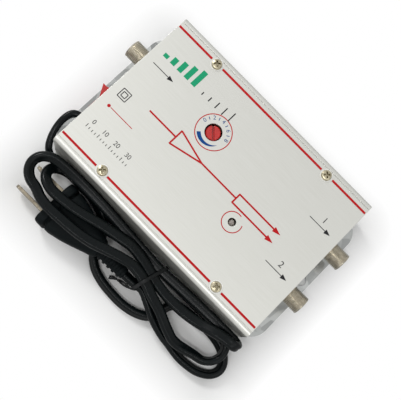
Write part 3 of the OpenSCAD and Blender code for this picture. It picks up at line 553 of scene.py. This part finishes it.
# threaded sockets
socket = {
    "face": 58.5, "axisZ": 15.0, "reach": 11.5, "hexFlats": 11.0, "hexThick": 2.0,
    "radius": 4.75, "neck": 4.5, "bore": 3.6, "rear": -5.0,
    "pitch": 25.4 / 32, "depth": 0.52, "sharpness": 1.3,
    "chamfer": 0.35, "cornerCut": 1.08,      # of the hexagon
    "runIn": 0.8, "runOut": 0.6,             # mm in which the thread deepens and fades
    "sides": 72, "perPitch": 8,
}
sockets = {"input_connector": (-1, 17.0), "output_connector_1": (1, 16.5), "output_connector_2": (1, -11.5)}


def makeSocket(node, direction, y):
    # rows along the axis, each a radius round it: hexagon, then a barrel cut by a helical groove
    around = np.arange(socket["sides"]) * 2 * np.pi / socket["sides"]
    flat = np.ones_like(around)
    hexagon = 1 / np.cos((around % (np.pi / 3)) - np.pi / 6)
    hexHalf = socket["hexFlats"] / 2
    bevelled = np.minimum(hexHalf * hexagon, hexHalf * socket["cornerCut"])
    hexThick, reach, radius, bore = (socket[key] for key in ("hexThick", "reach", "radius", "bore"))
    rows = [(socket["rear"], bore * flat), (socket["rear"], socket["neck"] * flat),
            (0, socket["neck"] * flat), (0, bevelled), (socket["chamfer"], hexHalf * hexagon),
            (hexThick - socket["chamfer"], hexHalf * hexagon), (hexThick, bevelled)]
    for x in np.arange(hexThick, reach - 0.25, socket["pitch"] / socket["perPitch"]):
        phase = x / socket["pitch"] - around / (2 * np.pi)
        deepen = np.clip((x - hexThick) / socket["runIn"], 0, 1)
        fade = np.clip((reach - 0.3 - x) / socket["runOut"], 0, 1)
        wave = (0.5 - 0.5 * np.cos(2 * np.pi * phase)) ** socket["sharpness"]
        groove = socket["depth"] * deepen * fade * wave
        rows.append((x, radius - 0.1 - groove))
    rows += [(reach - 0.2, (radius - 0.15) * flat), (reach, (radius - 0.4) * flat),
             (reach, (bore + 0.3) * flat), (reach - 0.4, bore * flat)]
    along = np.array([row[0] for row in rows])[:, None]
    out = np.array([row[1] for row in rows])
    points = np.stack([direction * (socket["face"] + along + 0 * out),
                       y + out * np.cos(around), socket["axisZ"] + out * np.sin(around)], axis=2)
    mesh = buildMesh(node + "Threaded", [{"points": points, "wrap": True, "loop": True}])
    addPiece(node + "Threaded", mesh, "nickel", replaced=(node,), smooth=40)


for node, (direction, y) in sockets.items():
    makeSocket(node, direction, y)
print("sockets threaded")

# cover screws: domed pan heads with a cross recess
screw = {
    "x": 35.2, "y": 35.65, "seat": 30.0, "radius": 2.5, "height": 1.6,
    "arm": 1.55, "armWidth": 0.42, "depth": 1.0, "wallSteep": 4,
    "crown": 0.35,                    # share of the height that the dome loses towards the rim
    "rim": 0.9, "rimSteep": 6,        # where the rim starts to fall, and how fast
    "sides": 96,
}


def makeScrews():
    # polar height field: a dome that falls steeply at the rim, less a cross with sloping walls
    share = np.concatenate([np.linspace(0.02, 0.75, 22), np.linspace(0.78, 1, 10)])
    around = np.arange(screw["sides"]) * 2 * np.pi / screw["sides"]
    radius = screw["radius"] * share[:, None] * np.ones_like(around)
    u = radius * np.cos(around)
    v = radius * np.sin(around)
    fall = 1 - np.maximum(share - screw["rim"], 0) * screw["rimSteep"]
    dome = screw["height"] * (1 - screw["crown"] * share ** 2)[:, None] * fall[:, None]
    a = (u + v) / math.sqrt(2)
    b = (u - v) / math.sqrt(2)
    armOne = np.minimum(screw["armWidth"] - np.abs(a), screw["arm"] - np.abs(b))
    armTwo = np.minimum(screw["armWidth"] - np.abs(b), screw["arm"] - np.abs(a))
    recess = np.clip(np.maximum(armOne, armTwo) * screw["wallSteep"], 0, 1) * screw["depth"]
    grids = []
    for x in (-screw["x"], screw["x"]):
        for y in (-screw["y"], screw["y"]):
            top = np.stack([x + u, y + v, screw["seat"] + dome - recess], axis=2)
            under = np.full_like(u[-1], screw["seat"] - 0.02)
            skirt = np.stack([x + u[-1], y + v[-1], under], axis=1)[None]
            grids.append({"points": np.concatenate([top, skirt]), "wrap": True, "caps": True})
    mesh = buildMesh("panHeads", grids)
    addPiece("panHeads", mesh, "screw", replaced=("cover_screws",), smooth=40)


makeScrews()

# printing on the cover, a hair above its top
ink = {"z": 30.025, "lineY": 36.0, "lineWidth": 1.1, "end": 59.6, "screwGap": 3.4, "layer": 0.0008,
       "ringInside": 0.2, "ringOutside": 0.5}   # mm


def strip(a, b, width):
    # a straight band from a to b
    line = np.array([a, b], float)
    along = (line[1] - line[0]) / np.linalg.norm(line[1] - line[0])
    across = np.array([-along[1], along[0]]) * width / 2
    flat = np.stack([line - across, line + across], axis=1)
    return {"points": np.concatenate([flat, np.full(flat.shape[:2] + (1,), ink["z"])], axis=2)}


def arc(centre, inner, outer, fromAngle, toAngle, steps=64):
    # a band between two radii, which may change along it
    angle = np.radians(np.linspace(fromAngle, toAngle, steps))
    inner = np.broadcast_to(inner, angle.shape)
    outer = np.broadcast_to(outer, angle.shape)
    radius = np.stack([inner, outer], axis=1)
    x = centre[0] + radius * np.cos(angle)[:, None]
    y = centre[1] + radius * np.sin(angle)[:, None]
    return {"points": np.stack([x, y, np.full(radius.shape, ink["z"])], axis=2)}


def arrowHead(tip, length, width):
    # a solid triangle that points along +X
    share = np.linspace(0, 1, 6)
    x = tip[0] - length * (1 - share)
    half = width / 2 * (1 - share) + 0.01
    flat = np.stack([np.stack([x, tip[1] - half], axis=1), np.stack([x, tip[1] + half], axis=1)], axis=1)
    return {"points": np.concatenate([flat, np.full(flat.shape[:2] + (1,), ink["z"])], axis=2)}


def outlineBox(centre, side, width):
    # a square drawn by its four lines
    h = side / 2
    corners = np.array([(-h, -h), (h, -h), (h, h), (-h, h), (-h, -h)]) * (1 + width / side)
    placed = np.array(centre) + corners
    return [strip(a, b, width) for a, b in zip(placed[:-1], placed[1:])]


def numeral(text, centre, height, turn=0.0):
    # a plain figure, made a mesh before its place is applied
    curve = bpy.data.curves.new("figure", "FONT")
    curve.body = text
    curve.align_x = "CENTER"
    curve.align_y = "CENTER"
    curve.size = height / 0.7
    holder = bpy.data.objects.new("figure", curve)
    bpy.context.scene.collection.objects.link(holder)
    mesh = bpy.data.meshes.new_from_object(holder.evaluated_get(bpy.context.evaluated_depsgraph_get()))
    flat = np.empty(len(mesh.vertices) * 3)
    mesh.vertices.foreach_get("co", flat)
    flat = flat.reshape(-1, 3)
    c = math.cos(math.radians(turn))
    s = math.sin(math.radians(turn))
    x = centre[0] + c * flat[:, 0] - s * flat[:, 1]
    y = centre[1] + s * flat[:, 0] + c * flat[:, 1]
    placed = np.stack([x, y, np.full(len(flat), ink["z"])], axis=1)
    faces = [list(face.vertices) for face in mesh.polygons]
    bpy.data.objects.remove(holder)
    bpy.data.curves.remove(curve)
    bpy.data.meshes.remove(mesh)
    return placed, faces


def printInk(name, material, grids, figures=()):
    # each mark lies a hair higher than the one before, so crossings stay clean
    for i, grid in enumerate(grids):
        grid["points"][:, :, 2] += ink["layer"] * i
    mesh = buildMesh(name, grids, upward=True)
    work = bmesh.new()
    work.from_mesh(mesh)
    for placed, faces in figures:
        verts = [work.verts.new(tuple(point)) for point in (placed * mm).tolist()]
        for face in faces:
            work.faces.new([verts[i] for i in face])
    work.faces.ensure_lookup_table()
    work.normal_update()
    bmesh.ops.reverse_faces(work, faces=[face for face in work.faces if face.normal.z < 0])
    work.to_mesh(mesh)
    work.free()
    return addPiece(name, mesh, material, smooth=0)


gain = {
    "centre": (-14.0, 12.2), "ring": 8.7, "ringWidth": 0.45,
    "crescent": (223, 330), "crescentOuter": (7.6, 1.5), "crescentInner": (5.75, 0.35), "crescentSteps": 48,
    "scale": (170, 12), "places": 9, "tick": (6.0, 7.4), "tickWidth": 0.35,
    "figureRadius": 6.7, "figureHeight": 1.9,
}
lampMark = {"centre": (20.2, -10.5), "radius": 5.0, "width": 0.45, "open": (75, 385)}
pointer = {"dot": (-54.3, -13.3), "dotRadius": 0.8, "line": ((-53.2, -13.3), (-39.8, -13.3)), "width": 0.35}
signalPath = {
    "y": -1.7, "width": 0.8,
    # each line from and to, as x and height over the middle line
    "lines": [((-40.5, 0), (-24, 0)), ((-8, 0), (14, 0)),
              ((-24, -4.2), (-24, 4.2)), ((-24, 4.0), (-7.6, 0)), ((-24, -4.0), (-7.6, 0)),
              ((14, -2.8), (14, 2.8)), ((14, 2.5), (35.45, 2.5)), ((14, -2.5), (35.45, -2.5))],
    "tips": [(39.4, 2.5), (39.4, -2.5)], "head": (4, 2.6),
}


def redPrint():
    # long lines that stop short of each screw, rings round knob and lamp, pointer, then the signal path
    near = screw["x"] - ink["screwGap"]
    far = screw["x"] + ink["screwGap"]
    grids = []
    for y in (-ink["lineY"], ink["lineY"]):
        for a, b in ((-ink["end"], -far), (-near, near), (far, ink["end"])):
            grids.append(strip((a, y), (b, y), ink["lineWidth"]))
    grids.append(arc(gain["centre"], gain["ring"] - gain["ringWidth"], gain["ring"], 0, 360, 96))
    inner = lampMark["radius"] - lampMark["width"]
    grids.append(arc(lampMark["centre"], inner, lampMark["radius"], *lampMark["open"], 80))
    grids.append(arc(pointer["dot"], 0.01, pointer["dotRadius"], 0, 360, 24))
    grids.append(strip(*pointer["line"], pointer["width"]))
    y = signalPath["y"]
    grids += [strip((a[0], y + a[1]), (b[0], y + b[1]), signalPath["width"]) for a, b in signalPath["lines"]]
    grids += [arrowHead((x, y + over), *signalPath["head"]) for x, over in signalPath["tips"]]
    printInk("redPrint", "redInk", grids)


marks = {
    "arrows": [(-55.3, -42.8, 15.1), (42.7, 55.2, 16.8), (42.3, 55.1, -11.7)],   # from x, to x, y
    "head": (3.0, 2.3), "arrowWidth": 0.35,
    "square": (-53.1, -5.0), "squareSides": (4.2, 2.0), "squareWidth": 0.42,
    "risers": 5, "riserStart": (-30, 20.5), "riserPitch": 4.2, "riserHeight": (1.6, 0.9), "riserWidth": 0.55,
    "outputs": [("1", (49, 20.2)), ("2", (48.6, -8.2))], "outputHeight": 3.0,
    "scaleStart": (-54.5, -27.2), "scalePitch": 1.75, "scaleTicks": 15, "scaleWidth": 0.3,
    "longTick": 1.8, "shortTick": 1.1,
    "figures": 4, "figureStart": (-53.2, -23.2), "figurePitch": 7, "figureHeight": 2.2,
}


def blackPrint():
    # arrows at the ports, nested squares, rising ticks by the knob, output numerals and a short scale
    headLength, headWidth = marks["head"]
    grids = []
    for a, b, y in marks["arrows"]:
        grids.append(strip((a, y), (b - headLength + 0.05, y), marks["arrowWidth"]))
        grids.append(arrowHead((b, y), headLength, headWidth))
    for side in marks["squareSides"]:
        grids += outlineBox(marks["square"], side, marks["squareWidth"])
    x, y = marks["riserStart"]
    lowest, rise = marks["riserHeight"]
    for i in range(marks["risers"]):
        place = x + marks["riserPitch"] * i
        grids.append(strip((place, y), (place, y + lowest + rise * i), marks["riserWidth"]))
    figures = [numeral(text, centre, marks["outputHeight"]) for text, centre in marks["outputs"]]
    x, y = marks["figureStart"]
    figures += [numeral(str(10 * i), (x + marks["figurePitch"] * i, y), marks["figureHeight"])
                for i in range(marks["figures"])]
    x, y = marks["scaleStart"]
    for i in range(marks["scaleTicks"]):
        place = x + marks["scalePitch"] * i
        tick = marks["shortTick"] if i % 4 else marks["longTick"]
        grids.append(strip((place, y), (place, y + tick), marks["scaleWidth"]))
    printInk("blackPrint", "blackInk", grids, figures)


def onDial(radius, angle):
    # the point of the gain dial at that radius and angle
    turn = math.radians(angle)
    return np.array(gain["centre"]) + radius * np.array([math.cos(turn), math.sin(turn)])


def bluePrint():
    # a crescent whose two radii close on each other, then ticks and numerals in turn round the dial
    share = np.linspace(0, 1, gain["crescentSteps"])
    outer = gain["crescentOuter"][0] - gain["crescentOuter"][1] * share ** 1.6
    inner = gain["crescentInner"][0] + gain["crescentInner"][1] * share ** 2
    inner = np.minimum(inner, outer - 0.02)
    grids = [arc(gain["centre"], inner, outer, *gain["crescent"], gain["crescentSteps"])]
    angles = np.linspace(*gain["scale"], gain["places"])
    for angle in angles[1::2]:
        grids.append(strip(onDial(gain["tick"][0], angle), onDial(gain["tick"][1], angle), gain["tickWidth"]))
    figures = []
    for i, angle in enumerate(angles[::2]):
        place = onDial(gain["figureRadius"], angle)
        figures.append(numeral(str(2 * i), place, gain["figureHeight"], angle - 90))
    printInk("bluePrint", "blueInk", grids, figures)


bars = {"count": 5, "start": (-53.5, 20.5), "pitch": 4.4, "top": 22.5, "rise": 1.75, "width": 2.6}


def greenPrint():
    # bars that stand on one line and rise in even steps
    x, y = bars["start"]
    grids = []
    for i in range(bars["count"]):
        place = x + bars["pitch"] * i
        grids.append(strip((place, y), (place, bars["top"] + bars["rise"] * i), bars["width"]))
    printInk("greenPrint", "greenInk", grids)


def paintRimHighlights():
    # a bright ring round each screw, a painted highlight for the shine on the screw head's rim
    inner = screw["radius"] - ink["ringInside"]
    outer = screw["radius"] + ink["ringOutside"]
    grids = [arc((x, y), inner, outer, 0, 360, 48)
             for x in (-screw["x"], screw["x"]) for y in (-screw["y"], screw["y"])]
    printInk("paintedRimHighlights", "rimHighlight", grids)


redPrint()
blackPrint()
bluePrint()
greenPrint()
paintRimHighlights()
print("printing done")

# finishes of the solids that stay as they are
finishes = {
    "plate_rivets": "sheetSteel", "cover_pillars": "sheetSteel", "board_spacers": "sheetSteel",
    "board_screws": "screw", "circuit_board": "laminate", "transformer_core": "core",
    "transformer_bobbin": "nylon", "transformer_clamp": "sheetSteel", "filter_capacitors": "sleeve",
    "rectifier_diodes": "epoxy", "regulator": "epoxy", "amplifier_transistors": "epoxy",
    "ferrite_cores": "ferrite", "ceramic_capacitors": "ceramic", "gain_pot": "potBody",
    "power_lamp": "lamp", "lamp_leads": "sheetSteel", "connector_insulators": "polyethylene",
    "connector_contacts": "brass", "connector_nuts": "nickel", "switch_terminals": "brass",
    "cord_bushing": "black", "mains_wires": "wire",
}
for node, finish in finishes.items():
    nodes[node].data.materials.clear()
    nodes[node].data.materials.append(materials[finish])

# pale floor, white surroundings and soft lamps
studio = {
    "floorSize": 3.0,        # m
    "floorDrop": 2e-5,       # m below the object's underside
    "floorColour": "#f7f7f6",
    "worldLight": 0.33,
    # place in m, size or length and width in m, power in W
    "lamps": [((-0.72, 0.2, 0.62), 0.2, 3.6), ((0.0, -0.3, 0.85), (0.5, 0.05), 1.5),
              ((-0.5, -0.4, 0.5), 0.4, 0.4), ((0.6, -0.1, 0.6), 0.4, 0.6)],
    "middle": (0, -14.6), "half": (64, 52),   # mm, the patch of paper that the object covers
    "fade": 20.0,          # mm out from that patch to where the paper is plain white
}


def makeFloor():
    # a flat square of paper that is lit near the object and plain white to the camera further out
    half = studio["floorSize"] / 2
    drop = -studio["floorDrop"]
    corners = [(-half, -half, drop), (half, -half, drop), (half, half, drop), (-half, half, drop)]
    mesh = bpy.data.meshes.new("floor")
    mesh.from_pydata(corners, [], [(0, 1, 2, 3)])
    floor = bpy.data.objects.new("floor", mesh)
    bpy.context.scene.collection.objects.link(floor)
    paper, tree, shader = startMaterial("studioPaper", {"Roughness": 0.9})
    shader.inputs["Base Color"].default_value = linear(studio["floorColour"])
    coords = addNode(tree, "ShaderNodeTexCoord")
    # distance out from the patch: length of max(|p - middle| - half, 0)
    middle = tuple(-value * mm for value in studio["middle"])
    edge = tuple(-value * mm for value in studio["half"])
    shift = addNode(tree, "ShaderNodeMapping", {"Location": (*middle, 0)}, {"Vector": coords.outputs["Object"]})
    folded = addNode(tree, "ShaderNodeVectorMath", {"operation": "ABSOLUTE"})
    tree.links.new(shift.outputs["Vector"], folded.inputs[0])
    beyond = addNode(tree, "ShaderNodeMapping", {"Location": (*edge, 0)}, {"Vector": folded.outputs["Vector"]})
    outside = addNode(tree, "ShaderNodeVectorMath", {"operation": "MAXIMUM"})
    tree.links.new(beyond.outputs["Vector"], outside.inputs[0])
    away = addNode(tree, "ShaderNodeVectorMath", {"operation": "LENGTH"})
    tree.links.new(outside.outputs["Vector"], away.inputs[0])
    fade = addNode(tree, "ShaderNodeMapRange", {"From Min": 0.0, "From Max": studio["fade"] * mm},
                   {"Value": away.outputs["Value"]})
    white = addNode(tree, "ShaderNodeEmission", {"Color": (1, 1, 1, 1), "Strength": 1.0})
    path = addNode(tree, "ShaderNodeLightPath")
    seen = addNode(tree, "ShaderNodeMath", {"operation": "MULTIPLY"})
    tree.links.new(fade.outputs["Result"], seen.inputs[0])
    tree.links.new(path.outputs["Is Camera Ray"], seen.inputs[1])
    mix = addNode(tree, "ShaderNodeMixShader", None, {"Fac": seen.outputs["Value"]})
    tree.links.new(shader.outputs["BSDF"], mix.inputs[1])
    tree.links.new(white.outputs["Emission"], mix.inputs[2])
    tree.links.new(mix.outputs["Shader"], tree.nodes["Material Output"].inputs["Surface"])
    mesh.materials.append(paper)


def makeWorld():
    # white to the camera and in reflections, a plain soft level for everything else
    world = bpy.data.worlds.new("studioWorld")
    bpy.context.scene.world = world
    world.use_nodes = True
    tree = world.node_tree
    tree.nodes.clear()
    path = addNode(tree, "ShaderNodeLightPath")
    seen = addNode(tree, "ShaderNodeMath", {"operation": "MAXIMUM"})
    tree.links.new(path.outputs["Is Camera Ray"], seen.inputs[0])
    tree.links.new(path.outputs["Is Glossy Ray"], seen.inputs[1])
    either = addNode(tree, "ShaderNodeMath", {"operation": "MAXIMUM"})
    tree.links.new(seen.outputs["Value"], either.inputs[0])
    tree.links.new(path.outputs["Is Transmission Ray"], either.inputs[1])
    soft = addNode(tree, "ShaderNodeBackground", {"Color": (1, 1, 1, 1), "Strength": studio["worldLight"]})
    white = addNode(tree, "ShaderNodeBackground", {"Color": (1, 1, 1, 1), "Strength": 1.0})
    mix = addNode(tree, "ShaderNodeMixShader", None, {"Fac": either.outputs["Value"]})
    tree.links.new(soft.outputs["Background"], mix.inputs[1])
    tree.links.new(white.outputs["Background"], mix.inputs[2])
    addNode(tree, "ShaderNodeOutputWorld", None, {"Surface": mix.outputs["Shader"]})


def makeLamps():
    # soft area lamps that all face the middle of the object
    for i, (place, size, power) in enumerate(studio["lamps"]):
        data = bpy.data.lights.new("softLamp%d" % i, "AREA")
        if isinstance(size, tuple):
            data.shape = "RECTANGLE"
            data.size, data.size_y = size
        else:
            data.size = size
        data.energy = power
        lamp = bpy.data.objects.new("softLamp%d" % i, data)
        direction = -np.array(place) / np.linalg.norm(place)
        side = np.cross(direction, [0, 0, 1])
        side /= np.linalg.norm(side)
        columns = np.eye(4)
        columns[:3, 0] = side
        columns[:3, 1] = np.cross(side, direction)
        columns[:3, 2] = -direction
        columns[:3, 3] = place
        lamp.matrix_world = Matrix(columns.tolist())
        bpy.context.scene.collection.objects.link(lamp)


makeFloor()
makeWorld()
makeLamps()
bpy.context.scene.view_settings.view_transform = "Standard"
print("studio set")
